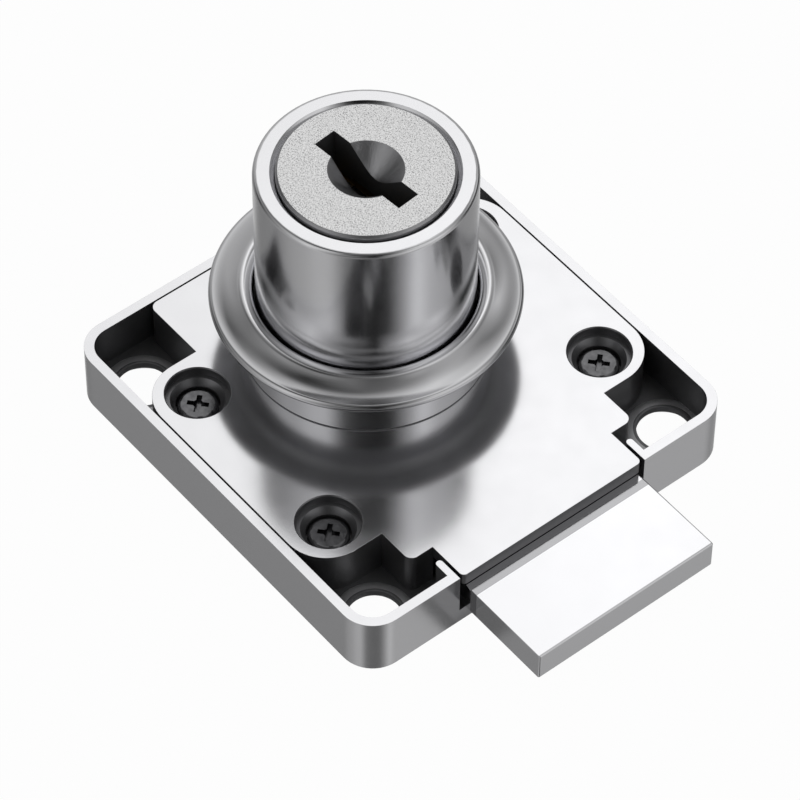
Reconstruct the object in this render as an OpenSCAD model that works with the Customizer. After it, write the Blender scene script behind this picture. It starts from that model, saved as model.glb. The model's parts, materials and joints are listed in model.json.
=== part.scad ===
// Drawer lock with a round barrel and a sliding bolt, in millimetres.
// The origin is on the barrel axis, in the back face of the case.
// +Z runs along the barrel towards the key, and +X is the way the bolt is thrown.

/* [Case] */
// Length of the case along the bolt
case_l = 41; // [40:0.5:44]
// Width of the case across the bolt
case_w = 40; // [39:0.5:44]
// Radius of the case's upright corners
case_r = 3.1; // [2:0.1:4]
// Thickness of the rim
case_wall = 0.9; // [0.7:0.05:1.1]
// Thickness of the floor
floor_t = 1.5; // [1.3:0.05:1.6]
// How far the case's centre lies from the barrel axis along the bolt
case_dx = 5.25; // [4.5:0.05:6]
// How far the case's centre lies to one side of the barrel axis
case_dy = -0.55; // [-1:0.05:0.5]
// Distance between the mounting holes, both ways
mount_pitch = 32; // [31:0.1:33]
// How far the mounting holes' middle lies from the case's middle, towards the bolt's end
mount_dx = 0.5; // [0:0.05:0.7]
// Diameter of a mounting hole
mount_hole_d = 4.8; // [4:0.1:5]
// Diameter of the countersink in the back of a mounting hole
mount_sink_d = 6.6; // [5.4:0.1:7]
// Depth of the countersink
mount_sink_h = 1.15; // [0.6:0.05:1.2]
// Height of the domed collar round a mounting hole, above the floor
mount_collar_h = 0.25; // [0.1:0.05:0.5]
// Width of the domed collar round a mounting hole
mount_collar_w = 1.1; // [0.6:0.1:1.3]
// Gap between the bolt and each end of its opening
opening_gap = 0.6; // [0.4:0.05:0.8]
// Length of the guide rib inside the rim at each end of the opening
rib_l = 1.7; // [1.2:0.1:2.2]
// Thickness of the guide rib
rib_t = 0.65; // [0.5:0.05:0.9]

/* [Cover] */
// Thickness of the cover plate
cover_t = 1.25; // [1.1:0.05:1.35]
// Gap between the cover and the rim
cover_gap = 0.15; // [0.1:0.01:0.25]
// Distance between the cover screws along the bolt
screw_pitch_x = 18; // [17.5:0.1:18.5]
// Distance between the cover screws across the bolt
screw_pitch_y = 29.8; // [29:0.1:30.4]
// How far the cover reaches past its screws, before the notches in its corners
lobe_reach = 3.75; // [3.5:0.05:4]
// Radius of the cover's corners at the screws
lobe_r = 4; // [3:0.1:4.2]
// Width of the cover between the notches in its corners
waist_w = 24.4; // [24:0.1:25]
// How far the waist reaches past the screws on the bolt's side
waist_reach = 7.5; // [7:0.1:8]
// Radius of the waist's corners
waist_r = 0.8; // [0.4:0.1:1.2]
// Gap between the cover's tongue and each end of the bolt opening
lip_gap = 0.3; // [0.2:0.05:0.5]
// Radius of the tongue's corners
lip_r = 0.5; // [0.2:0.1:0.8]
// Thickness of the cover's end wall, behind the bolt
skirt_t = 1.2; // [1:0.1:1.6]
// Diameter of the recess over a screw
recess_d = 5.6; // [5.4:0.1:5.9]
// Width of the chamfer round a recess
recess_edge = 0.1; // [0.05:0.05:0.2]
// Depth of the recess's wide upper part
recess_step_h = 0.85; // [0.6:0.05:1.1]
// Diameter of the cone below that part, at its mouth
recess_cone_d = 4.8; // [4.4:0.1:5.2]
// Depth of the cone
recess_cone_h = 0.6; // [0.4:0.05:0.7]
// Gap between a screw's head and the bore below the cone
head_gap = 0.15; // [0.1:0.01:0.25]
// Depth of the seat of a screw's head below the cover's face
recess_h = 2.45; // [2.2:0.05:2.6]

/* [Barrel] */
// Diameter of the barrel
barrel_d = 19; // [18.6:0.1:19.2]
// Height of the barrel above the cover
barrel_h = 20.7; // [19.5:0.1:24]
// Rounding of the barrel's outer edge
barrel_edge = 0.4; // [0.2:0.05:0.5]
// How much the barrel's foot widens inside the ring, on the radius
barrel_draft = 0.15; // [0.05:0.05:0.2]
// Width of the chamfer at the mouth of the barrel's bore
mouth_edge = 0.4; // [0.3:0.05:0.6]

/* [Trim ring] */
// Gap between the barrel and the ring's bore
ring_gap = 0.45; // [0.4:0.05:0.7]
// Thickness of the ring's collar
collar_wall = 1; // [0.8:0.05:1.2]
// How far the ring's flange stands out from its collar
flange_w = 2.55; // [2:0.05:3.5]
// Height of the ring from the collar's foot to its lip
ring_h = 6.95; // [6.7:0.05:7.5]
// Height of the flange's outer edge above the collar's foot
flange_h = 5.7; // [5.2:0.05:5.9]
// Thickness of the flange's rounded outer edge
flange_t = 0.8; // [0.6:0.05:0.9]
// How much the flange's top bulges between the lip and the edge
flange_crown = 0.05; // [0:0.01:0.2]
// Width of the ring's rounded lip
lip_w = 1.6; // [0.8:0.1:1.8]

/* [Plug] */
// Diameter of the plug
plug_d = 15.2; // [14.6:0.05:15.4]
// How far the plug's face stands proud of the barrel
plug_proud = 0.2; // [0.1:0.05:0.4]
// Bevel round the plug's face
plug_edge = 0.2; // [0.1:0.05:0.25]
// Length of the key slot
slot_l = 10; // [9.6:0.1:10.4]
// Width of the key slot
slot_w = 2.2; // [2:0.05:2.4]
// Depth of the key slot below the plug's face
slot_h = 16.2; // [15.8:0.1:16.4]
// Angle of the key slot from the bolt's direction
slot_angle = 5.5; // [0:0.5:12]
// Diameter of the countersink round the key slot
bowl_d = 6.5; // [6:0.1:7]
// Depth of the countersink's point below the plug's face
bowl_h = 3.25; // [2.8:0.05:3.6]

/* [Wafers] */
// Distance between neighbouring wafers
wafer_pitch = 2; // [1.95:0.01:2.05]
// Depth of the first wafer's middle below the plug's face
wafer_first = 4.9; // [4.6:0.1:5]
// Thickness of a wafer
wafer_t = 0.8; // [0.7:0.02:0.84]
// Width of a wafer
wafer_w = 6.4; // [6:0.1:6.6]
// Travel of a wafer out of the plug
wafer_travel = 0.6; // [0.4:0.05:0.65]
// Length of the window that the key passes through
window_l = 8.6; // [8.4:0.1:9]
// Width of the window
window_w = 2.6; // [2.5:0.05:2.8]
// Depth of the retaining wafer's middle below the plug's face
retainer_depth = 17.6; // [17.4:0.05:17.7]
// How far the retaining wafer reaches into the barrel's groove
retainer_reach = 0.5; // [0.4:0.05:0.55]
// Outer diameter of a wafer's spring
spring_d = 1.2; // [1:0.05:1.2]
// Thickness of the spring's wire
spring_wire = 0.2; // [0.16:0.01:0.24]
// Length of a wafer's spring while the wafer is flush
spring_l = 3.7; // [3.5:0.1:3.8]
// Number of turns in a spring
spring_turns = 5; // [3:1:6]

/* [Bolt] */
// Width of the bolt
bolt_w = 19; // [18.6:0.1:19.2]
// Thickness of the bolt
bolt_t = 2.9; // [2.6:0.05:3.2]
// How far the bolt stands out of the case when thrown
bolt_throw = 9.6; // [9:0.1:10.4]
// Gap behind the bolt when it is drawn in
bolt_back_gap = 0.4; // [0.2:0.05:0.8]

/* [Drive cam] */
// Diameter of the cam's disc
cam_d = 16.6; // [16:0.1:16.8]
// Thickness of the cam's disc
cam_t = 1.6; // [1.4:0.05:1.8]
// Diameter of the eccentric pin
cam_pin_d = 3; // [2.6:0.1:3.2]
// Width of the tongue that joins the plug to the cam
tongue_w = 2.4; // [2:0.1:3]
// Length of the tongue
tongue_l = 10; // [8:0.1:12]
// Thickness of the disc under the tongue
cam_floor = 0.3; // [0.2:0.05:0.5]

/* [Cover screws] */
// Diameter of a screw's head
head_d = 3.6; // [3.4:0.1:3.8]
// Height of a screw's head
head_h = 1; // [0.9:0.05:1.1]
// Diameter of a screw's thread
thread_d = 2; // [1.8:0.1:2.4]
// How deep the thread ends above the back face
thread_end = 0.7; // [0.6:0.05:0.9]
// Length across the cross recess
cross_l = 1.9; // [1.7:0.1:2.1]
// Width of each arm of the cross
cross_w = 0.45; // [0.4:0.05:0.55]
// Depth of the cross recess
cross_h = 0.6; // [0.5:0.05:0.7]

/* [Hidden] */
$fn = 96;
// Play of a sliding piece on each face
slide_play = 0.1;
// Play of a turning piece, on the radius
turn_play = 0.06;
// Play of a screw's thread and of a ring that rests on the cover
rest_play = 0.02;
// How far above the ring the barrel's tapered foot ends
ring_play = 0.1;
// Overshoot of a cut past the face that it opens
cut = 0.5;

// The floor, the bolt and the cover are stacked, with play on both faces of the bolt
bolt_z = floor_t + slide_play;
cover_under = bolt_z + bolt_t + slide_play;
cover_z = cover_under + cover_t;
case_h = cover_z;
barrel_top = cover_z + barrel_h;
face_z = barrel_top + plug_proud;
bore_r = plug_d / 2 + turn_play;

// Foot of the collar round a mounting hole
collar_foot_r = mount_hole_d / 2 + mount_collar_w;

// The bolt slides on the floor, under the cover, in a room that is open towards +X
bolt_end = case_dx + case_l / 2 + bolt_throw;
bolt_room_x = case_dx - case_l / 2 + case_wall + cover_gap + skirt_t;
bolt_back = bolt_room_x + bolt_throw + bolt_back_gap;
opening_w = bolt_w + 2 * opening_gap;
bolt_room_w = bolt_w + 4 * slide_play;

// The pin goes half the throw either side of the barrel axis
cam_offset = bolt_throw / 2;
// A turning pin runs ahead of or behind an even slide by 0.2105 of its offset
cam_lag = 0.2105 * cam_offset;
// Play between the pin and each end of its cross slot
cam_play = 0.25;
bolt_slot_l = cam_pin_d + 2 * cam_lag + 2 * cam_play;
bolt_slot_w = 2 * cam_offset + cam_pin_d + 4 * slide_play;
cam_room_h = cam_t + 2 * slide_play;
cam_z = cover_under + slide_play;
tail_z = cover_under + cam_room_h + slide_play;
tongue_h = tail_z - cam_z - cam_floor - slide_play;

seat_z = cover_z - recess_h;
head_top = seat_z + head_h;
// Width of the bevel round a screw's head
head_edge = 0.35;
// Height of that bevel
head_crown = 0.2;
// Angle of the screws' crosses
cross_turn = 42;
// How much narrower the cross's conical middle is than the cross
cross_ease = 1;
// How much deeper a screw's hole is than its thread
hole_spare = 0.2;
recess_r = recess_d / 2;
head_bore_r = head_d / 2 + head_gap;
post_h = 1.1;
post_z = floor_t + post_h;
post_d = 5.2;

wafer_n = 6;
wafer_r = plug_d / 2 - turn_play;
wafer_slot_t = wafer_t + slide_play;
wafer_slot_w = wafer_w + 2 * slide_play;
pocket_w = spring_d + 2 * slide_play;
pocket_out = wafer_slot_w / 2 + pocket_w;
// Place and thickness of the lug at a wafer's side
lug_x = 0.9;
lug_t = 1;
pocket_back = lug_x - spring_l - slide_play;
pocket_front = lug_x + lug_t + wafer_travel + slide_play;
// Room past the end and the sides of a wafer that has sprung out
groove_end_play = 0.25;
groove_side_play = 0.15;
groove_x = wafer_r + wafer_travel + groove_end_play;
groove_w = wafer_slot_w + 2 * groove_side_play;
retainer_z = face_z - retainer_depth;
retainer_t = 1.1;
retainer_w = 5;
// Place of the retaining wafer's inner end, where its spring pushes
retainer_tail = -2.9;
retainer_slot_t = pocket_w;
retainer_groove_play = 0.2;
retainer_r = plug_d / 2 + retainer_reach;

function wafer_z(i) = face_z - wafer_first - (i - 1) * wafer_pitch;
// Wafers point to either side in turn
function wafer_side(i) = (i % 2 == 1) ? 0 : 180;
// Each cut of the key sets its wafer's window to one of five places
cut_step = 0.15;
cut_places = 5;
function window_shift(i) = cut_step * ((i * 2) % cut_places - floor(cut_places / 2));

// A rectangle about its own centre with round corners
module round_rect(l, w, r) {
    square([l - 2 * r, w], center = true);
    square([l, w - 2 * r], center = true);
    for (x = [-1, 1], y = [-1, 1])
        translate([x * (l / 2 - r), y * (w / 2 - r)])
            circle(r = r);
}

// A block from one corner to the opposite one
module block(low, high) {
    translate(low)
        cube(high - low);
}

module at_case() {
    translate([case_dx, case_dy, 0])
        children();
}

module at_mount_holes() {
    at_case()
        for (x = [-1, 1], y = [-1, 1])
            translate([mount_dx + x * mount_pitch / 2, y * mount_pitch / 2, 0])
                children();
}

module at_cover_screws() {
    at_case()
        for (x = [-1, 1], y = [-1, 1])
            translate([x * screw_pitch_x / 2, y * screw_pitch_y / 2, 0])
                children();
}

// The domed collar round a mounting hole, level at the hole and falling away from it
module mount_collar() {
    steps = 6;
    arc = [for (i = [0 : steps])
        [mount_hole_d / 2 + mount_collar_w * sin(90 * i / steps),
         floor_t + mount_collar_h * cos(90 * i / steps)]];
    rotate_extrude()
        polygon(concat([[0, floor_t / 2], [0, floor_t + mount_collar_h]], arc, [[collar_foot_r, floor_t / 2]]));
}

// The die-cast tray: floor, rim, mounting holes, screw posts and the opening for the bolt
module case_tray() {
    inner_l = case_l - 2 * case_wall;
    inner_w = case_w - 2 * case_wall;
    color("silver")
    difference() {
        union() {
            at_case()
                linear_extrude(height = floor_t)
                    round_rect(case_l, case_w, case_r);
            at_case()
                linear_extrude(height = case_h)
                    difference() {
                        round_rect(case_l, case_w, case_r);
                        round_rect(inner_l, inner_w, case_r - case_wall);
                        translate([case_l / 2 - case_wall - cut, -opening_w / 2])
                            square([case_wall + 2 * cut, opening_w]);
                    }
            at_case()
                for (side = [-1, 1])
                    translate([inner_l / 2 - rib_l + rib_t / 2, side * (opening_w + rib_t) / 2, 0]) {
                        cylinder(d = rib_t, h = case_h);
                        translate([0, -rib_t / 2, 0])
                            cube([rib_l - rib_t / 2 + case_wall / 2, rib_t, case_h]);
                    }
            at_mount_holes()
                mount_collar();
            at_cover_screws()
                cylinder(d = post_d, h = post_z);
        }
        at_mount_holes() {
            translate([0, 0, -cut])
                cylinder(d = mount_hole_d, h = case_h);
            cylinder(d1 = mount_sink_d, d2 = mount_hole_d, h = mount_sink_h);
        }
        at_cover_screws()
            translate([0, 0, thread_end - hole_spare])
                cylinder(r = thread_d / 2 + rest_play, h = case_h);
    }
}

// Outline of the cover: the block that holds the screws, and the waist between the corner notches
module cover_outline() {
    back_x = -(case_l / 2 - case_wall - cover_gap);
    front_x = screw_pitch_x / 2 + waist_reach;
    round_rect(screw_pitch_x + 2 * lobe_reach, case_w - 2 * (case_wall + cover_gap), lobe_r);
    translate([(back_x + front_x) / 2, 0])
        round_rect(front_x - back_x, waist_w, waist_r);
}

// The upper half of the barrel's section, with a rounded outer edge and a chamfered mouth
module barrel_section() {
    r = barrel_d / 2;
    steps = 8;
    arc = [for (i = [0 : steps])
        [r - barrel_edge + barrel_edge * cos(90 * i / steps),
         barrel_top - barrel_edge + barrel_edge * sin(90 * i / steps)]];
    polygon(concat(
        [[bore_r, cover_under], [r + barrel_draft, cover_under], [r + barrel_draft, cover_z],
         [r, cover_z + ring_h + ring_play]],
        arc,
        [[bore_r + mouth_edge, barrel_top], [bore_r, barrel_top - mouth_edge]]));
}

// The cover and the barrel, cast in one piece
module cylinder_housing() {
    wall_y = bolt_room_w / 2;
    lip_l = case_l / 2 - screw_pitch_x / 2;
    core_x = screw_pitch_x / 2 - lobe_reach;
    core_y = case_w / 2 - case_wall - cover_gap - skirt_t;
    color("gainsboro")
    difference() {
        union() {
            at_case()
                translate([0, 0, floor_t])
                    linear_extrude(height = cover_z - floor_t)
                        cover_outline();
            at_case()
                translate([screw_pitch_x / 2, 0, cover_under])
                    linear_extrude(height = cover_t)
                        translate([lip_l / 2, 0])
                            round_rect(lip_l, opening_w - 2 * lip_gap, lip_r);
            rotate_extrude()
                barrel_section();
        }
        // Room for the bolt
        at_case()
            block([bolt_room_x - case_dx, -wall_y, floor_t - cut],
                  [case_l / 2 + cut, wall_y, cover_under]);
        // Coring between the screw bosses
        at_case()
            for (side = [-1, 1])
                translate([0, side * (core_y + wall_y + skirt_t) / 2, (floor_t - cut + cover_under) / 2])
                    cube([2 * core_x, core_y - wall_y - skirt_t, cover_under - floor_t + cut], center = true);
        // Bore for the plug, and the wider room for the cam under it
        cylinder(r = bore_r, h = barrel_top + cut);
        cylinder(r = cam_d / 2 + slide_play, h = cover_under + cam_room_h);
        translate([0, 0, retainer_z - retainer_slot_t / 2])
            cylinder(r = retainer_r + retainer_groove_play, h = retainer_slot_t);
        // Grooves that the wafers spring into
        rotate([0, 0, slot_angle])
            translate([-groove_x, -groove_w / 2, wafer_z(wafer_n) - wafer_slot_t])
                cube([2 * groove_x, groove_w, wafer_z(1) - wafer_z(wafer_n) + 2 * wafer_slot_t]);
        at_mount_holes()
            cylinder(r = collar_foot_r + slide_play, h = floor_t + mount_collar_h + slide_play);
        at_cover_screws() {
            translate([0, 0, cover_z - recess_step_h])
                cylinder(r = recess_r, h = recess_step_h + cut);
            translate([0, 0, cover_z - recess_step_h - recess_cone_h])
                cylinder(r1 = head_bore_r, r2 = recess_cone_d / 2, h = recess_cone_h);
            translate([0, 0, seat_z])
                cylinder(r = head_bore_r, h = recess_h);
            translate([0, 0, cover_z - recess_edge])
                cylinder(r1 = recess_r, r2 = recess_r + 2 * recess_edge, h = 2 * recess_edge);
            cylinder(r = thread_d / 2 + slide_play, h = case_h);
            cylinder(r = post_d / 2 + slide_play, h = post_z + slide_play);
        }
    }
}

// Section of the trim ring: collar, crowned flange with a rounded edge, and a rounded lip at the bore
module ring_section() {
    bore = barrel_d / 2 + ring_gap;
    collar = bore + collar_wall;
    lip = lip_w / 2;
    edge = flange_t / 2;
    rim = collar + flange_w - edge;
    flare = 0.6;
    steps = 8;
    top_angle = 70;
    lip_arc = [for (i = [0 : steps])
        let (turn = (180 - top_angle) * i / steps)
        [bore + lip - lip * cos(turn), ring_h - lip + lip * sin(turn)]];
    rim_arc = [for (i = [0 : steps])
        let (turn = top_angle - (top_angle + 90) * i / steps)
        [rim + edge * cos(turn), flange_h + edge * sin(turn)]];
    crown = [for (i = [1 : steps - 1])
        let (part = i / steps)
        lip_arc[steps] * (1 - part) + rim_arc[0] * part + [0, 4 * flange_crown * part * (1 - part)]];
    polygon(concat(
        [[collar, 0], [bore, 0]],
        lip_arc,
        crown,
        rim_arc,
        [[collar + flare, flange_h - edge], [collar, flange_h - edge - flare]]));
}

// The loose ring that finishes the hole in the drawer front
module trim_ring() {
    color("lightgray")
    translate([0, 0, cover_z + rest_play])
        rotate_extrude()
            ring_section();
}

// Room for one wafer in the plug, with the pocket of its spring at one side
module wafer_room() {
    translate([-plug_d, -wafer_slot_w / 2, -wafer_slot_t / 2])
        cube([2 * plug_d, wafer_slot_w, wafer_slot_t]);
    translate([pocket_back, 0, -pocket_w / 2])
        cube([pocket_front - pocket_back, pocket_out, pocket_w]);
}

// The plug that the key turns
module plug() {
    color("lightsteelblue")
    difference() {
        union() {
            translate([0, 0, tail_z])
                cylinder(d = plug_d, h = face_z - plug_edge - tail_z);
            translate([0, 0, face_z - plug_edge])
                cylinder(d1 = plug_d, d2 = plug_d - 2 * plug_edge, h = plug_edge);
            rotate([0, 0, slot_angle])
                translate([-tongue_l / 2, -tongue_w / 2, tail_z - tongue_h])
                    cube([tongue_l, tongue_w, tongue_h + slide_play]);
        }
        translate([0, 0, face_z - bowl_h])
            cylinder(d1 = 0, d2 = 2 * bowl_d, h = 2 * bowl_h);
        rotate([0, 0, slot_angle]) {
            translate([-slot_l / 2, -slot_w / 2, face_z - slot_h])
                cube([slot_l, slot_w, slot_h + cut]);
            for (i = [1 : wafer_n])
                translate([0, 0, wafer_z(i)])
                    rotate([0, 0, wafer_side(i)])
                        wafer_room();
            translate([retainer_tail - spring_l - slide_play, -retainer_w / 2 - slide_play,
                       retainer_z - retainer_slot_t / 2])
                cube([plug_d, retainer_w + 2 * slide_play, retainer_slot_t]);
        }
    }
}

// A flat wafer with its key window, rounded ends, and the lug that its spring pushes on
module wafer(i) {
    color("goldenrod")
    translate([0, 0, wafer_z(i)])
        rotate([0, 0, slot_angle + wafer_side(i)])
            translate([0, 0, -wafer_t / 2])
                difference() {
                    union() {
                        intersection() {
                            cylinder(r = wafer_r, h = wafer_t);
                            translate([-plug_d, -wafer_w / 2, 0])
                                cube([2 * plug_d, wafer_w, wafer_t]);
                        }
                        translate([lug_x, 0, 0])
                            cube([lug_t, pocket_out - slide_play, wafer_t]);
                    }
                    translate([window_shift(i) - window_l / 2, -window_w / 2, -cut])
                        cube([window_l, window_w, wafer_t + 2 * cut]);
                }
}

// Gap between a spring's end and what it pushes on
spring_play = 0.05;

// Centre line of a coil that climbs along +Z, at turn t
function coil_centre(t) = [coil_r * cos(360 * t), coil_r * sin(360 * t), coil_rise * t];
coil_r = (spring_d - spring_wire) / 2;
coil_rise = (spring_l - spring_wire - 2 * spring_play) / spring_turns;
coil_sides = 6;
coil_steps = 8;

// One ring of the wire, square to the coil's run
function coil_ring(t) =
    let (slope = atan2(coil_rise, 360 * coil_r * PI / 180),
         out = [cos(360 * t), sin(360 * t), 0],
         up = [sin(360 * t) * sin(slope), -cos(360 * t) * sin(slope), cos(slope)])
    [for (k = [0 : coil_sides - 1])
        coil_centre(t) + spring_wire / 2 * (cos(360 * k / coil_sides) * out + sin(360 * k / coil_sides) * up)];

// A coil spring along +X, starting at x = 0
module coil_spring() {
    rings = spring_turns * coil_steps;
    points = [for (j = [0 : rings], p = coil_ring(j / coil_steps)) p];
    sides = [for (j = [0 : rings - 1], k = [0 : coil_sides - 1])
        let (a = j * coil_sides + k,
             b = j * coil_sides + (k + 1) % coil_sides)
        each [[a, a + coil_sides, b + coil_sides], [a, b + coil_sides, b]]];
    start = [for (k = [1 : coil_sides - 2]) [0, k, k + 1]];
    last = rings * coil_sides;
    end = [for (k = [1 : coil_sides - 2]) [last, last + k + 1, last + k]];
    translate([spring_wire / 2 + spring_play, 0, 0])
        rotate([0, 90, 0])
            polyhedron(points = points, faces = concat(sides, start, end));
}

// A wafer's spring, between the plug and the wafer's lug
module wafer_spring(i) {
    color("dimgray")
    translate([0, 0, wafer_z(i)])
        rotate([0, 0, slot_angle + wafer_side(i)])
            translate([lug_x - spring_l, wafer_slot_w / 2 + pocket_w / 2, 0])
                coil_spring();
}

// The wafer that keeps the plug in the barrel
module retaining_wafer() {
    color("goldenrod")
    rotate([0, 0, slot_angle])
        intersection() {
            translate([0, 0, retainer_z - retainer_t / 2])
                cylinder(r = retainer_r, h = retainer_t);
            translate([retainer_tail, -retainer_w / 2, retainer_z - retainer_t / 2 - cut])
                cube([plug_d, retainer_w, retainer_t + 2 * cut]);
        }
}

module retaining_spring() {
    color("dimgray")
    rotate([0, 0, slot_angle])
        translate([retainer_tail - spring_l, 0, retainer_z])
            coil_spring();
}

// The disc under the plug, whose pin throws the bolt
module drive_cam() {
    color("darkgray")
    difference() {
        union() {
            translate([0, 0, cam_z])
                cylinder(d = cam_d, h = cam_t);
            translate([cam_offset, 0, bolt_z])
                cylinder(d = cam_pin_d, h = cam_z + cam_t / 2 - bolt_z);
        }
        rotate([0, 0, slot_angle])
            translate([-tongue_l / 2 - slide_play, -tongue_w / 2 - slide_play, tail_z - tongue_h - slide_play])
                cube([tongue_l + 2 * slide_play, tongue_w + 2 * slide_play, cam_t + cut]);
    }
}

// The bolt, thrown, with the cross slot that the cam's pin runs in
module bolt() {
    color("whitesmoke")
    difference() {
        block([bolt_back, case_dy - bolt_w / 2, bolt_z],
              [bolt_end, case_dy + bolt_w / 2, bolt_z + bolt_t]);
        block([cam_offset - bolt_slot_l / 2, -bolt_slot_w / 2, bolt_z - cut],
              [cam_offset + bolt_slot_l / 2, bolt_slot_w / 2, bolt_z + bolt_t + cut]);
    }
}

// One cover screw: a round head with a cross recess, and a thread drawn as a plain shank
module cover_screw() {
    difference() {
        union() {
            translate([0, 0, seat_z])
                cylinder(d = head_d, h = head_h - head_crown);
            translate([0, 0, head_top - head_crown])
                cylinder(d1 = head_d, d2 = head_d - 2 * head_edge, h = head_crown);
            translate([0, 0, thread_end])
                cylinder(d = thread_d, h = head_top - head_h / 2 - thread_end);
        }
        for (turn = [0, 90])
            rotate([0, 0, turn + cross_turn])
                translate([-cross_l / 2, -cross_w / 2, head_top - cross_h])
                    cube([cross_l, cross_w, cross_h + cut]);
        translate([0, 0, head_top - cross_h])
            cylinder(d1 = cross_w, d2 = cross_l - cross_ease, h = cross_h + rest_play);
    }
}

module cover_screws() {
    color("gray")
    at_cover_screws()
        cover_screw();
}

case_tray();
cylinder_housing();
trim_ring();
plug();
drive_cam();
bolt();
cover_screws();
retaining_wafer();
retaining_spring();
wafer(1);  // wafer_1
wafer(2);  // wafer_2
wafer(3);  // wafer_3
wafer(4);  // wafer_4
wafer(5);  // wafer_5
wafer(6);  // wafer_6
wafer_spring(1);  // wafer_spring_1
wafer_spring(2);  // wafer_spring_2
wafer_spring(3);  // wafer_spring_3
wafer_spring(4);  // wafer_spring_4
wafer_spring(5);  // wafer_spring_5
wafer_spring(6);  // wafer_spring_6
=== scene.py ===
import json
import math

import bmesh
import bpy
import numpy as np
from mathutils import Matrix, Vector


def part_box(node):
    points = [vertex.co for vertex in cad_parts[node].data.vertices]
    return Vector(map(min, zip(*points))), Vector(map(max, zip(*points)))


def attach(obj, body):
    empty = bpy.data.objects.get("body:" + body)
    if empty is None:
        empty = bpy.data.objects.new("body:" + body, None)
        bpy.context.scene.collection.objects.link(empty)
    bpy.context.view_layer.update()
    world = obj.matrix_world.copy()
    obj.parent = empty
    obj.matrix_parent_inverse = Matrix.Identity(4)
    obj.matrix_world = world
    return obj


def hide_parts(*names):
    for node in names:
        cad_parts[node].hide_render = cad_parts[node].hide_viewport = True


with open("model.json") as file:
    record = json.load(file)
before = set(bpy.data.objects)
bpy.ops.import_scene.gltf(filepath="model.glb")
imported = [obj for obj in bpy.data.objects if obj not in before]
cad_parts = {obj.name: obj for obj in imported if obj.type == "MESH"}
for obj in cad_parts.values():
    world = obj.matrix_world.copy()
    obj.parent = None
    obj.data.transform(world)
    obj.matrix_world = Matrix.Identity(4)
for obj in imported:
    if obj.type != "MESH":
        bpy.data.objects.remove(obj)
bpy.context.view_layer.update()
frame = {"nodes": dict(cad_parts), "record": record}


# Camera
# A long lens looks down on the corner of the lock beside its bolt, as for a product photograph.
# Its place was solved from the case's straight edges and the barrel's circles.
MM = 0.001
view_azimuth = math.radians(50.605)
view_elevation = math.radians(50.261)
view_roll = math.radians(0.535)
view_distance = 405.16 * MM
view_aim = Vector((6.906, -1.807, 4.622)) * MM
lens_length = 212.74
sensor_width = 36
nearest_seen = 10 * MM
farthest_seen = 10.0

to_camera = Vector((math.sin(view_azimuth) * math.cos(view_elevation),
                    -math.cos(view_azimuth) * math.cos(view_elevation),
                    math.sin(view_elevation)))
camera_data = bpy.data.cameras.new("camera")
camera_data.lens = lens_length
camera_data.sensor_width = sensor_width
camera_data.clip_start = nearest_seen
camera_data.clip_end = farthest_seen
camera = bpy.data.objects.new("camera", camera_data)
camera.location = view_aim + to_camera * view_distance
camera.rotation_mode = "QUATERNION"
camera.rotation_quaternion = ((-to_camera).to_track_quat("-Z", "Y").to_matrix()
                              @ Matrix.Rotation(view_roll, 3, "Z")).to_quaternion()
bpy.context.scene.collection.objects.link(camera)
bpy.context.scene.camera = camera


# Case tray
# A zinc die casting under nickel and bright chrome: floor, rim, and collars round the four mounting holes.
# Polishing before the plating softened its outer edges; its inside keeps the duller skin of the casting.
rim_edge = 0.13 * MM
front_edge = 0.32 * MM
opening_edge = 0.22 * MM
corner_reach = 3.2 * MM
wall_reach = 0.91 * MM
opening_height = 4 * MM
drift_length = 2.5 * MM
grain_length = 0.12 * MM
mount_reach = 3.7 * MM
bright_colour = "#f0f0f2"
# Edges that turn by more than rounded_turn degrees are rounded, and triangles that turn by less than
# flat_turn become one face. Corners closer than merge_reach are one corner, what lies within a hair of a
# face is on it, and least_length keeps a length of nothing from dividing. The front's rounding has front_play
# to spare, and the duller skin starts skin_inset inside the outline.
rounded_turn = 25
flat_turn = 0.5
merge_reach = 0.0001 * MM
hair = 0.01 * MM
least_length = 1e-9
front_play = 0.05 * MM
skin_inset = 0.1 * MM
# Parts of a normal of length 1: along X for an edge that faces the front, and along Z for a face that is
# upright, that looks up or down, or that slopes as a collar's side does
front_part = 0.05
upright_part = 0.1
half_up = 0.5
least_slope = 0.02
most_slope = 0.999


def linear(hex_colour):
    """An sRGB hex colour as linear red, green, blue and alpha."""
    parts = [int(hex_colour[i:i + 2], 16) / 255 for i in (1, 3, 5)]
    return [p / 12.92 if p <= 0.04045 else ((p + 0.055) / 1.055) ** 2.4 for p in parts] + [1.0]


def new_material(name):
    """An empty node material, as its tree and its output's surface socket."""
    material = bpy.data.materials.new(name)
    material.use_nodes = True
    tree = material.node_tree
    tree.nodes.clear()
    return material, tree, tree.nodes.new("ShaderNodeOutputMaterial").inputs["Surface"]


def add(tree, kind, settings=None, inputs=None):
    """Adds a node with its settings, and links or sets its inputs by name or number.

    A Mix node of colours takes its share at input 0 and its two colours at inputs 6 and 7.
    """
    node = tree.nodes.new(kind)
    for key, value in (settings or {}).items():
        setattr(node, key, value)
    for key, value in (inputs or {}).items():
        if isinstance(value, bpy.types.NodeSocket):
            tree.links.new(value, node.inputs[key])
        else:
            node.inputs[key].default_value = value
    return node


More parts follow.
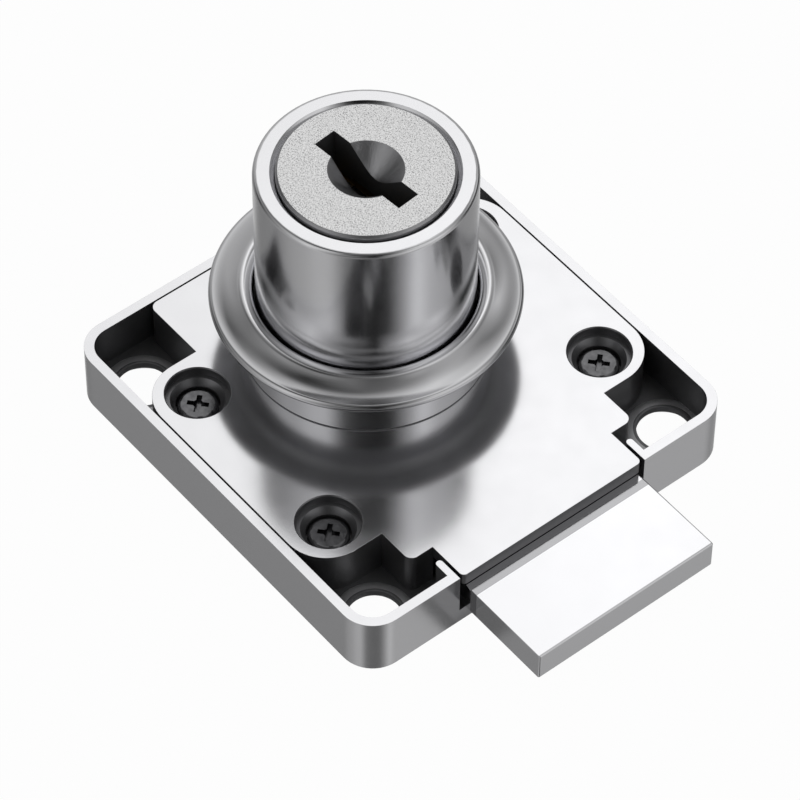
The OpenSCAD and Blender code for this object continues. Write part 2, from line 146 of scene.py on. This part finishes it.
def cast_chrome(name, colour, dull, bright, wave, wave_size, speck=0.0, metal_share=1.0):
    """Chrome on a casting: roughness drifts between two values, over a slow waviness and a fine grain.

    wave is the height of the casting's waviness, wave_size its length, and speck the height of the grain.
    Where the skin is left rough it scatters light, so less than all of it acts as metal.
    """
    material, tree, surface = new_material(name)
    place = add(tree, "ShaderNodeTexCoord").outputs["Object"]
    waves = add(tree, "ShaderNodeTexNoise", None, {"Vector": place, "Scale": 1 / wave_size, "Detail": 2.0})
    drift = add(tree, "ShaderNodeTexNoise", None, {"Vector": place, "Scale": 1 / drift_length, "Detail": 3.0})
    haze = add(tree, "ShaderNodeMapRange", None, {
        "Value": drift.outputs["Fac"], "From Min": 0.3, "From Max": 0.7, "To Min": bright, "To Max": dull})
    bump = add(tree, "ShaderNodeBump", None, {"Height": waves.outputs["Fac"], "Distance": wave})
    if speck:
        grain = add(tree, "ShaderNodeTexNoise", None, {
            "Vector": place, "Scale": 1 / grain_length, "Detail": 2.0})
        bump = add(tree, "ShaderNodeBump", None, {"Height": grain.outputs["Fac"], "Distance": speck,
                                                  "Normal": bump.outputs["Normal"]})
    metal = add(tree, "ShaderNodeBsdfPrincipled", None, {
        "Base Color": linear(colour), "Metallic": metal_share, "Roughness": haze.outputs["Result"],
        "Normal": bump.outputs["Normal"]})
    tree.links.new(metal.outputs["BSDF"], surface)
    return material


def whole_faces(node, name):
    """A copy of a CAD node with its loose triangles joined into whole flat faces, all smooth."""
    mesh = frame["nodes"][node].data.copy()
    mesh.name = name
    mesh.materials.clear()
    solid = bmesh.new()
    solid.from_mesh(mesh)
    bmesh.ops.remove_doubles(solid, verts=solid.verts, dist=merge_reach)
    bmesh.ops.dissolve_limit(solid, angle_limit=math.radians(flat_turn), verts=solid.verts, edges=solid.edges)
    for face in solid.faces:
        face.smooth = True
    solid.to_mesh(mesh)
    solid.free()
    piece = bpy.data.objects.new(name, mesh)
    bpy.context.scene.collection.objects.link(piece)
    return piece


def edge_table(mesh):
    """Each edge's middle, the vector between its ends, and what its two faces make of it.

    That is the turn between them in degrees, and the sum of their normals.
    """
    points = np.empty(len(mesh.vertices) * 3)
    mesh.vertices.foreach_get("co", points)
    points = points.reshape(-1, 3)
    ends = np.empty(len(mesh.edges) * 2, dtype=int)
    mesh.edges.foreach_get("vertices", ends)
    ends = ends.reshape(-1, 2)
    loop_edge = np.empty(len(mesh.loops), dtype=int)
    mesh.loops.foreach_get("edge_index", loop_edge)
    totals = np.empty(len(mesh.polygons), dtype=int)
    mesh.polygons.foreach_get("loop_total", totals)
    normals = np.empty(len(mesh.polygons) * 3)
    mesh.polygons.foreach_get("normal", normals)
    normals = np.repeat(normals.reshape(-1, 3), totals, axis=0)
    order = np.argsort(loop_edge, kind="stable")
    first = normals[order[0::2]]
    second = normals[order[1::2]]
    turn = np.degrees(np.arccos(np.clip((first * second).sum(1), -1, 1)))
    middle = points[ends].mean(axis=1)
    along = points[ends[:, 1]] - points[ends[:, 0]]
    return middle, along, turn, first + second


def keep_flat(piece):
    """Gives a piece's large faces their own flat normals, so that only the narrow ones bend the light."""
    flat = piece.modifiers.new("flat", "WEIGHTED_NORMAL")
    flat.mode = "FACE_AREA"
    flat.weight = 100


def round_edges(piece, width, weights, segments=3):
    """Rounds each edge to its weight times the width, and keeps the faces between them flat."""
    weight = piece.data.attributes.new("bevel_weight_edge", "FLOAT", "EDGE")
    weight.data.foreach_set("value", np.ascontiguousarray(weights, dtype=np.float32))
    bevel = piece.modifiers.new("edges", "BEVEL")
    bevel.width = width
    bevel.segments = segments
    bevel.limit_method = "WEIGHT"
    bevel.miter_outer = "MITER_ARC"
    keep_flat(piece)


def face_table(mesh):
    """Each face's centre and normal."""
    centres = np.empty(len(mesh.polygons) * 3)
    mesh.polygons.foreach_get("center", centres)
    normals = np.empty(len(mesh.polygons) * 3)
    mesh.polygons.foreach_get("normal", normals)
    return centres.reshape(-1, 3), normals.reshape(-1, 3)


def near_axes(places, xs, ys):
    """Each place's distance from the nearest of the upright axes that stand at every pair of an x and a y."""
    return np.min([np.hypot(places[:, 0] - x, places[:, 1] - y) for x in xs for y in ys], axis=0)


def finish_faces(mesh, base, *others):
    """Gives every face the base finish, and then each other finish in turn to the faces of its test."""
    mesh.materials.append(base)
    chosen = np.zeros(len(mesh.polygons), dtype=np.int32)
    for number, (finish, where) in enumerate(others, 1):
        mesh.materials.append(finish)
        chosen[where] = number
    mesh.polygons.foreach_set("material_index", chosen)


# Buffed chrome mirrors softly; where the wheel didn't reach, the same plating stays hazy, and the skin of
# the casting inside is rough enough to look grey from every side. The sloped sides of the mounting holes'
# collars get a paler, less metallic copy of that skin: painted light, standing for the bright band they
# catch.
bright_casting = cast_chrome("bright_chrome_casting", bright_colour, dull=0.17, bright=0.14,
                             wave=0.003 * MM, wave_size=5 * MM)
dull_casting = cast_chrome("unpolished_chrome_casting", "#78787a", dull=0.5, bright=0.38,
                           wave=0.02 * MM, wave_size=1.5 * MM, speck=0.004 * MM, metal_share=0.75)
hazy_casting = cast_chrome("unbuffed_chrome_casting", "#828284", dull=0.38, bright=0.3,
                           wave=0.006 * MM, wave_size=2 * MM, metal_share=0.85)
collar_painted_light = cast_chrome("painted_light_collar_chrome", "#c8c8ca", dull=0.45, bright=0.35,
                             wave=0.02 * MM, wave_size=1.2 * MM, metal_share=0.55)

tray = whole_faces("case_tray", "tray")
tray_low, tray_high = (np.array(c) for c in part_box("case_tray"))
# Every sharp edge gets the rim's small rounding; it widens round the two front corners to the front's own,
# and the upright edges beside the bolt have one between the two.
middle, along, turn, outward = edge_table(tray.data)
sharp = turn > rounded_turn
narrow = rim_edge / front_edge
length = np.linalg.norm(outward[:, :2], axis=1, keepdims=True)
facing = outward[:, :2] / np.maximum(length, least_length)
to_front = np.clip(facing[:, 0], 0, 1) ** 2
from_front = tray_high[0] - middle[:, 0]
on_top = np.abs(middle[:, 2] - tray_high[2]) < hair
on_front = sharp & on_top & (facing[:, 0] > front_part) & (from_front < corner_reach)
on_front &= from_front < front_play + corner_reach * (1 - to_front)
at_opening = sharp & (np.abs(along[:, 2]) > opening_height) & (from_front < hair)
weights = np.where(sharp, narrow, 0.0)
weights = np.where(on_front, narrow + (1 - narrow) * to_front, weights)
weights = np.where(at_opening, opening_edge / front_edge, weights)
round_edges(tray, front_edge, weights)
# The inside keeps its skin, but for the wall's two ends beside the bolt and the case's round outer corners.
centres, normals = face_table(tray.data)
inset = np.minimum(centres - tray_low, tray_high - centres)[:, :2]
upright = np.abs(normals[:, 2]) < upright_part
inside = (centres[:, 2] < tray_high[2] - hair) & (normals[:, 2] > -half_up)
inside &= inset.min(axis=1) > skin_inset
inside &= ~(upright & (tray_high[0] - centres[:, 0] < wall_reach))
turned_out = ((centres - (tray_low + tray_high) / 2)[:, :2] * normals[:, :2]).sum(axis=1) > 0
inside &= ~(upright & turned_out & (inset.max(axis=1) < corner_reach - skin_inset))
mounts = {mount["name"]: mount for mount in frame["record"]["mounts"]}
mount_x, mount_y = mounts["corner_screws"]["pos_m"][:2]
half_x = mounts["corner_screws"]["dims"]["spacing_x_mm"] * MM / 2
half_y = mounts["corner_screws"]["dims"]["spacing_y_mm"] * MM / 2
from_mount = near_axes(centres, (mount_x - half_x, mount_x + half_x), (mount_y - half_y, mount_y + half_y))
# Sloped faces round the mounting holes take the paler finish: painted light for the band that the collars
# catch.
on_collar = inside & (from_mount < mount_reach)
on_collar &= (normals[:, 2] > least_slope) & (normals[:, 2] < most_slope)
finish_faces(tray.data, bright_casting, (dull_casting, inside), (collar_painted_light, on_collar))
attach(tray, "case")
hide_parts("case_tray")


# Bolt
# A flat die-cast bar under the same chrome; it slides on the tray's floor, under the cover, and its end
# stands out of the case when the lock is shut.
bolt_edge = 0.16 * MM
# A strip of painted shade for the cover edge's shadow: it starts this far past the cover's front, is this
# wide, and has this grey.
shade_strip_from = 0.66 * MM
shade_strip_width = 0.77 * MM
shade_strip_colour = "#b4b4b6"

# Polished flat, it mirrors sharply, but a narrow greyer strip beside the cover is painted shade, standing for
# the shadow of the cover's edge.
bolt_chrome = cast_chrome("bright_chrome_bolt_painted_shade", bright_colour, dull=0.12, bright=0.09,
                          wave=0.002 * MM, wave_size=7 * MM)
tree = bolt_chrome.node_tree
metal = next(n for n in tree.nodes if n.type == "BSDF_PRINCIPLED")
place = add(tree, "ShaderNodeTexCoord").outputs["Object"]
across = add(tree, "ShaderNodeSeparateXYZ", None, {0: place})
# Within the strip the base colour turns to the painted shade's grey.
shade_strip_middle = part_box("cylinder_housing")[1][0] + shade_strip_from + shade_strip_width / 2
on_shade_strip = add(tree, "ShaderNodeMath", {"operation": "COMPARE"}, {
    0: across.outputs["X"], 1: shade_strip_middle, 2: shade_strip_width / 2})
painted_shade_tint = add(tree, "ShaderNodeMix", {"data_type": "RGBA"}, {
    0: on_shade_strip.outputs[0], 6: linear(bright_colour), 7: linear(shade_strip_colour)})
tree.links.new(painted_shade_tint.outputs[2], metal.inputs["Base Color"])
bolt = whole_faces("bolt", "bolt_piece")
finish_faces(bolt.data, bolt_chrome)
turn = edge_table(bolt.data)[2]
round_edges(bolt, bolt_edge, np.where(turn > rounded_turn, 1.0, 0.0))
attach(bolt, "bolt")
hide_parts("bolt")


# Drive cam
# A zinc-plated steel disc with an eccentric pin. The plug's tongue turns it, and the pin throws the bolt; a
# shoulder in the housing's bore keeps it down.
mottle_size = 0.8 * MM


def clouded_metal(name, dark, light, cloud_size, cloud_height, roughness):
    """Metal whose colour drifts in soft clouds between two tones, over a bump of the same clouds."""
    material, tree, surface = new_material(name)
    place = add(tree, "ShaderNodeTexCoord").outputs["Object"]
    clouds = add(tree, "ShaderNodeTexNoise", None, {"Vector": place, "Scale": 1 / cloud_size, "Detail": 4.0})
    colour = add(tree, "ShaderNodeMix", {"data_type": "RGBA"}, {
        0: clouds.outputs["Fac"], 6: linear(dark), 7: linear(light)})
    bump = add(tree, "ShaderNodeBump", None, {"Height": clouds.outputs["Fac"], "Distance": cloud_height})
    metal = add(tree, "ShaderNodeBsdfPrincipled", None, {
        "Base Color": colour.outputs[2], "Metallic": 1.0, "Roughness": roughness,
        "Normal": bump.outputs["Normal"]})
    tree.links.new(metal.outputs["BSDF"], surface)
    return material


# Zinc plating is a soft pale grey, a little cloudy.
cam_steel = clouded_metal("zinc_plated_steel", "#a3a6aa", "#c6c9cc", mottle_size,
                          cloud_height=0.005 * MM, roughness=0.38)
frame["nodes"]["drive_cam"].data.materials.clear()
frame["nodes"]["drive_cam"].data.materials.append(cam_steel)


# Cylinder housing
# The cover plate and the barrel are one zinc casting; the barrel is turned and buffed before the chrome goes
# on, and four screws hold the cover in the tray.
front_lip_edge = 0.36 * MM
cover_edge = 0.26 * MM
barrel_edge = 0.14 * MM
recess_edge = 0.05 * MM
cut_turn = 30
barrel_radius = mounts["barrel"]["dims"]["r_mm"] * MM
barrel_inset = 0.5 * MM
barrel_play = 0.2 * MM
plug_reach = 7.6 * MM
skin_depth = 0.5 * MM
recess_depth = 2.5 * MM
side_depth = 5 * MM
head_radius = 1.8 * MM
recess_reach = 3.05 * MM

housing = whole_faces("cylinder_housing", "housing")
cover_top = tray_high[2]
cover_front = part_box("cylinder_housing")[1][0]
screws_low, screws_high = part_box("cover_screws")
screws_x = (screws_low[0] + head_radius, screws_high[0] - head_radius)
screws_y = (screws_low[1] + head_radius, screws_high[1] - head_radius)
middle, along, turn, outward = edge_table(housing.data)
from_axis = np.hypot(middle[:, 0], middle[:, 1])
on_cover = (np.abs(middle[:, 2] - cover_top) < hair) & (from_axis > barrel_radius + 2 * barrel_inset)
width = np.full(len(turn), recess_edge)
width = np.where(on_cover & (near_axes(middle, screws_x, screws_y) > recess_reach), cover_edge, width)
width = np.where(on_cover & (middle[:, 0] > cover_front - hair), front_lip_edge, width)
on_rim = (middle[:, 2] > cover_top + side_depth) & (from_axis > barrel_radius - barrel_inset)
width = np.where(on_rim, barrel_edge, width)
round_edges(housing, front_lip_edge, np.where(turn > cut_turn, width / front_lip_edge, 0.0))
# The bore and all below the cover keep the casting's skin; recesses and the cover's sides are hazy.
centres, normals = face_table(housing.data)
depth = cover_top - centres[:, 2]
from_axis = np.hypot(centres[:, 0], centres[:, 1])
upright = np.abs(normals[:, 2]) < upright_part
dull = ((depth > hair) | (from_axis < plug_reach)) & (normals[:, 2] < half_up)
dull |= depth > skin_depth
dull &= ~(upright & (np.abs(from_axis - barrel_radius) < barrel_play) & (depth < 0))
in_recess = (near_axes(centres, screws_x, screws_y) < recess_reach) & (depth > hair)
in_recess &= (depth < recess_depth) & (normals[:, 2] > -upright_part)
at_side = dull & upright & ~in_recess & (depth < side_depth) & (from_axis > barrel_radius + barrel_inset)
finish_faces(housing.data, bright_casting, (dull_casting, dull), (hazy_casting, in_recess | at_side))
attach(housing, "case")
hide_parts("cylinder_housing")


# Cover screws
# Four steel screws with cross recesses hold the cover, deep in its counterbores.
# They are rolled and pressed from wire, then plated.
screw_edge = 0.05 * MM
stain_size = 0.5 * MM

# Old plating is dark and blotched, with small bright spots where the driver has rubbed it.
screw_steel = clouded_metal("dull_screw_steel", "#4c4c4e", "#8c8c8e", stain_size,
                            cloud_height=0.01 * MM, roughness=0.24)
screws = whole_faces("cover_screws", "screws")
finish_faces(screws.data, screw_steel)
turn = edge_table(screws.data)[2]
round_edges(screws, screw_edge, np.where(turn > cut_turn, 1.0, 0.0), 2)
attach(screws, "case")
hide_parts("cover_screws")


# Plug
# The round plug that the key turns is a zinc casting: its face is sand-blasted before the chrome goes on,
# and a bowl leads the key into its slot.
plug_bevel = 0.05 * MM
grit = 0.12 * MM
face_depth = 0.25 * MM
slot_reach = 6 * MM
level_part = 0.95
slot_part = 0.02

# Blasted chrome sparkles: pale grains with dark pits between them, no finer than the render can show.
plug_face, tree, surface = new_material("sand_blasted_chrome")
place = add(tree, "ShaderNodeTexCoord").outputs["Object"]
grains = add(tree, "ShaderNodeTexNoise", None, {
    "Vector": place, "Scale": 1 / grit, "Detail": 3.0, "Roughness": 0.7})
bump = add(tree, "ShaderNodeBump", None, {"Height": grains.outputs["Fac"], "Distance": 0.025 * MM})
tone = add(tree, "ShaderNodeMapRange", None, {
    "Value": grains.outputs["Fac"], "From Min": 0.36, "From Max": 0.47})
colour = add(tree, "ShaderNodeMix", {"data_type": "RGBA"}, {
    0: tone.outputs["Result"], 6: linear("#848486"), 7: linear("#ffffff")})
metal = add(tree, "ShaderNodeBsdfPrincipled", None, {"Base Color": colour.outputs[2], "Metallic": 1.0,
                                                     "Roughness": 0.24, "Normal": bump.outputs["Normal"]})
tree.links.new(metal.outputs["BSDF"], surface)
# The bowl is bored after the blasting: smoother and darker, its light gathers in streaks towards the slot.
bored_chrome = cast_chrome("bored_chrome_bowl", "#b8b8ba", dull=0.4, bright=0.32,
                           wave=0.004 * MM, wave_size=1.5 * MM, speck=0.02 * MM)
plug = whole_faces("plug", "plug_piece")
turn = edge_table(plug.data)[2]
round_edges(plug, plug_bevel, np.where(turn > cut_turn, 1.0, 0.0), 2)
centres, normals = face_table(plug.data)
plug_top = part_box("plug")[1][2]
on_face = (normals[:, 2] > level_part) & (centres[:, 2] > plug_top - face_depth)
in_slot = (np.abs(normals[:, 2]) < slot_part) & (np.hypot(centres[:, 0], centres[:, 1]) < slot_reach)
finish_faces(plug.data, plug_face, (bored_chrome, ~on_face), (dull_casting, in_slot))
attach(plug, "plug")
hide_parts("plug")


# Wafers and springs
# Stamped brass wafers, one for each cut of the key, with a coil of steel wire beside each; the key slot
# shows them in its depth. One more wafer and spring keep the plug in the barrel.
tarnish_size = 1.2 * MM
streak_size = 0.3 * MM

# Stamped brass tarnishes in soft clouds; the drawn wire is dark, with a fine streaked gloss.
wafer_brass = clouded_metal("stamped_brass", "#9a7b3c", "#d9b768", tarnish_size,
                            cloud_height=0.004 * MM, roughness=0.35)
spring_wire, tree, surface = new_material("drawn_spring_wire")
place = add(tree, "ShaderNodeTexCoord").outputs["Object"]
streaks = add(tree, "ShaderNodeTexNoise", None, {"Vector": place, "Scale": 1 / streak_size, "Detail": 3.0})
wire = add(tree, "ShaderNodeMix", {"data_type": "RGBA"}, {
    0: streaks.outputs["Fac"], 6: linear("#5c5f63"), 7: linear("#9b9ea2")})
metal = add(tree, "ShaderNodeBsdfPrincipled", None, {"Base Color": wire.outputs[2], "Metallic": 1.0,
                                                     "Roughness": 0.3})
tree.links.new(metal.outputs["BSDF"], surface)
for name in frame["nodes"]:
    if "wafer" in name or "spring" in name:
        frame["nodes"][name].data.materials.clear()
        frame["nodes"][name].data.materials.append(spring_wire if "spring" in name else wafer_brass)


# Trim ring
# A loose zinc ring over the barrel that covers the hole in the drawer front. Its face is turned smooth under
# satin chrome, and the side that the drawer front hides is bare casting; the bore narrows towards the lip.
ring_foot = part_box("trim_ring")[0][2]
ring_bore = 9.95 * MM
lip_bore = 9.63 * MM
ring_collar = 10.95 * MM
ring_flange = 13.5 * MM
ring_height = 6.95 * MM
flange_height = 5.7 * MM
flange_hollow = 0.13 * MM
rim_round = 0.4 * MM
lip_round = 0.95 * MM
root_flare = 0.6 * MM
lip_end = math.radians(57)
rim_start = math.radians(82)
ring_edge = 0.12 * MM
underside_part = 0.3
lip_points = 25
rim_points = 19
crown_points = 13
ring_steps = 192


def arc(middle, round_radius, start, end, steps):
    """Points of a circular arc about middle: middle + radius (cos t, sin t), t from start to end."""
    t = np.linspace(start, end, steps)[:, None]
    return np.array(middle) + round_radius * np.hstack([np.cos(t), np.sin(t)])


def soften(profile, reach, steps=3):
    """Each corner c of a closed profile becomes the curve (1-s)(1-s) a + 2 s (1-s) c + s s b.

    a and b lie the reach away from c on its two sides, or a third of the side where that is less.
    """
    before = np.roll(profile, 1, axis=0) - profile
    after = np.roll(profile, -1, axis=0) - profile
    ends = []
    for side in (before, after):
        length = np.linalg.norm(side, axis=1, keepdims=True)
        ends.append((profile + side / length * np.minimum(reach, length / 3))[:, None, :])
    s = np.linspace(0, 1, steps)[None, :, None]
    return ((1 - s) ** 2 * ends[0] + 2 * s * (1 - s) * profile[:, None, :] + s ** 2 * ends[1]).reshape(-1, 2)


def revolve(name, profile, steps):
    """A closed profile of radius r and height z carried round the Z axis: (r cos t, r sin t, z)."""
    t = np.linspace(0, 2 * math.pi, steps, endpoint=False)[:, None]
    r, z = profile[:, 0], profile[:, 1]
    points = np.stack([np.cos(t) * r, np.sin(t) * r, np.broadcast_to(z, (steps, len(z)))], axis=-1)
    points = points.reshape(-1, 3)
    here = np.arange(len(points)).reshape(steps, -1)
    beside = np.roll(here, -1, axis=0)
    faces = np.stack([here, np.roll(here, -1, axis=1), np.roll(beside, -1, axis=1), beside], axis=-1)
    faces = faces.reshape(-1, 4)
    mesh = bpy.data.meshes.new(name)
    mesh.from_pydata(points.tolist(), [], faces.tolist())
    mesh.polygons.foreach_set("use_smooth", np.ones(len(faces), dtype=bool))
    piece = bpy.data.objects.new(name, mesh)
    bpy.context.scene.collection.objects.link(piece)
    return piece


lip = arc((lip_bore + lip_round, ring_height - lip_round), lip_round, math.pi, lip_end, lip_points)
rim = arc((ring_flange - rim_round, flange_height), rim_round, rim_start, -math.pi / 2, rim_points)
part = np.linspace(0, 1, crown_points)[1:-1, None]
sag = 4 * flange_hollow * part * (1 - part)
crown = lip[-1] * (1 - part) + rim[0] * part - np.hstack([part * 0, sag])
foot = [[ring_collar, 0], [ring_bore, 0]]
flange_foot = flange_height - rim_round
root = [[ring_collar + root_flare, flange_foot], [ring_collar, flange_foot - root_flare]]
section = soften(np.vstack([foot, lip, crown, rim, root]), ring_edge) + [0, ring_foot]

# Satin chrome draws each light out into a soft band; the bare side is grey and nearly without gloss.
satin_chrome = cast_chrome("satin_chrome_ring", "#e6e6e8", dull=0.16, bright=0.13,
                           wave=0.002 * MM, wave_size=3 * MM, speck=0.0006 * MM)
bare_casting = cast_chrome("bare_zinc_casting", "#a2a2a4", dull=0.6, bright=0.5,
                           wave=0.01 * MM, wave_size=1 * MM, speck=0.006 * MM, metal_share=0.85)
ring = revolve("ring_piece", section, ring_steps)
keep_flat(ring)
normals = face_table(ring.data)[1]
finish_faces(ring.data, satin_chrome, (bare_casting, normals[:, 2] < -underside_part))
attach(ring, "ring")
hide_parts("trim_ring")


# Floor and studio
# A polished white table in a tent of soft panels: a large white one behind the lock, dimmer ones at its
# sides, and the dark of the room round the camera. Bright metal mirrors the table's white and its polish.
floor_half = 2.0
floor_drop = 0.02 * MM
seen_white = 0.975
mirrored_white = 0.1
brightest = 1.4
# Elevation of each ring of soft panels, and its panels' levels from azimuth -180 on, in even steps. The
# levels are a least-squares fit of test renders, lit by each panel alone, to the photograph's brightness.
rings = [
    (10, [0.36, 0.01, 0.23, 0.65, 0.14, 0, 0.67, 0.55, 0, 0, 0.43, 0.44]),
    (30, [0.41, 0.17, 0.35, 0.65, 0.28, 0, 0.45, 0.75, 0.2, 0.62, 0.25, 0.51]),
    (50, [0.07, 0.13, 0.2, 0.24, 0.38, 0.4, 0.54, 0.59, 0.05, 0, 0, 0,
          0.31, 0.76, 0.46, 0.41, 0.37, 0.18, 0.14, 0.21, 0.46, 1.24, 0.88, 0.49]),
    (70, [0.48, 0.05, 0.01, 0.11, 0.18, 0.09, 0.14, 0.26, 0.52, 0.77, 0.81, 0.68]),
    (90, [0.11]),
]
floor_mesh = bpy.data.meshes.new("floor")
floor_mesh.from_pydata([(-floor_half, -floor_half, -floor_drop), (floor_half, -floor_half, -floor_drop),
                        (floor_half, floor_half, -floor_drop), (-floor_half, floor_half, -floor_drop)], [],
                       [(0, 1, 2, 3)])
floor = bpy.data.objects.new("floor", floor_mesh)
bpy.context.scene.collection.objects.link(floor)
# Polished white lacquer is plain white to the eye, and to metal a dimmer white that mirrors the panels.
white_table, tree, surface = new_material("polished_white_table")
path = add(tree, "ShaderNodeLightPath")
paint = add(tree, "ShaderNodeBsdfDiffuse", None, {"Color": linear("#f4f4f4")})
polish = add(tree, "ShaderNodeBsdfGlossy", None, {"Color": linear("#dcdcdc"), "Roughness": 0.2})
glow = add(tree, "ShaderNodeEmission", None, {"Color": (1, 1, 1, 1), "Strength": 1.0})
seen = add(tree, "ShaderNodeMath", {"operation": "MAXIMUM"}, {0: path.outputs["Is Camera Ray"],
                                                              1: path.outputs["Is Transmission Ray"]})
white_share = add(tree, "ShaderNodeMath", {"operation": "MULTIPLY"}, {0: seen.outputs[0], 1: seen_white})
all_white = add(tree, "ShaderNodeMath", {"operation": "MULTIPLY_ADD"}, {
    0: path.outputs["Is Glossy Ray"], 1: mirrored_white, 2: white_share.outputs[0]})
table = add(tree, "ShaderNodeMixShader", None, {
    0: path.outputs["Is Glossy Ray"], 1: paint.outputs[0], 2: polish.outputs[0]})
ground = add(tree, "ShaderNodeMixShader", None, {
    0: all_white.outputs[0], 1: table.outputs[0], 2: glow.outputs[0]})
tree.links.new(ground.outputs[0], surface)
floor_mesh.materials.append(white_table)

# The panels light the lock and show in its chrome, but the eye sees only white past it.
world = bpy.data.worlds.new("studio")
bpy.context.scene.world = world
world.use_nodes = True
tree = world.node_tree
tree.nodes.clear()
toward = add(tree, "ShaderNodeTexCoord").outputs["Generated"]
axes = add(tree, "ShaderNodeSeparateXYZ", None, {0: toward})
azimuth = add(tree, "ShaderNodeMath", {"operation": "ARCTAN2"}, {0: axes.outputs["Y"], 1: axes.outputs["X"]})
around = add(tree, "ShaderNodeMapRange", None, {
    "Value": azimuth.outputs[0], "From Min": -math.pi, "From Max": math.pi})
elevation = add(tree, "ShaderNodeMath", {"operation": "ARCSINE"}, {0: axes.outputs["Z"]})
level, ring_below = None, None
for ring_elevation, levels in rings:
    ramp = add(tree, "ShaderNodeValToRGB", None, {"Fac": around.outputs["Result"]})
    for i, value in enumerate(levels + levels[:1]):
        places = ramp.color_ramp.elements
        spot = places[0] if i == 0 else places[-1] if i == len(levels) else places.new(i / len(levels))
        spot.color = (value / brightest, value / brightest, value / brightest, 1)
    if level is None:
        level = ramp.outputs["Color"]
    else:
        rise = add(tree, "ShaderNodeMapRange", None, {
            "Value": elevation.outputs[0], "From Min": math.radians(ring_below),
            "From Max": math.radians(ring_elevation)})
        level = add(tree, "ShaderNodeMix", {"data_type": "RGBA"}, {
            0: rise.outputs["Result"], 6: level, 7: ramp.outputs["Color"]}).outputs[2]
    ring_below = ring_elevation
path = add(tree, "ShaderNodeLightPath")
seen = add(tree, "ShaderNodeMath", {"operation": "MAXIMUM"}, {0: path.outputs["Is Camera Ray"],
                                                              1: path.outputs["Is Transmission Ray"]})
panels = add(tree, "ShaderNodeBackground", None, {"Color": level, "Strength": brightest})
white = add(tree, "ShaderNodeBackground", None, {"Color": (1, 1, 1, 1), "Strength": 1.0})
sky = add(tree, "ShaderNodeMixShader", None, {0: seen.outputs[0], 1: panels.outputs[0], 2: white.outputs[0]})
tree.links.new(sky.outputs[0], tree.nodes.new("ShaderNodeOutputWorld").inputs["Surface"])

bpy.context.scene.view_settings.view_transform = "Standard"
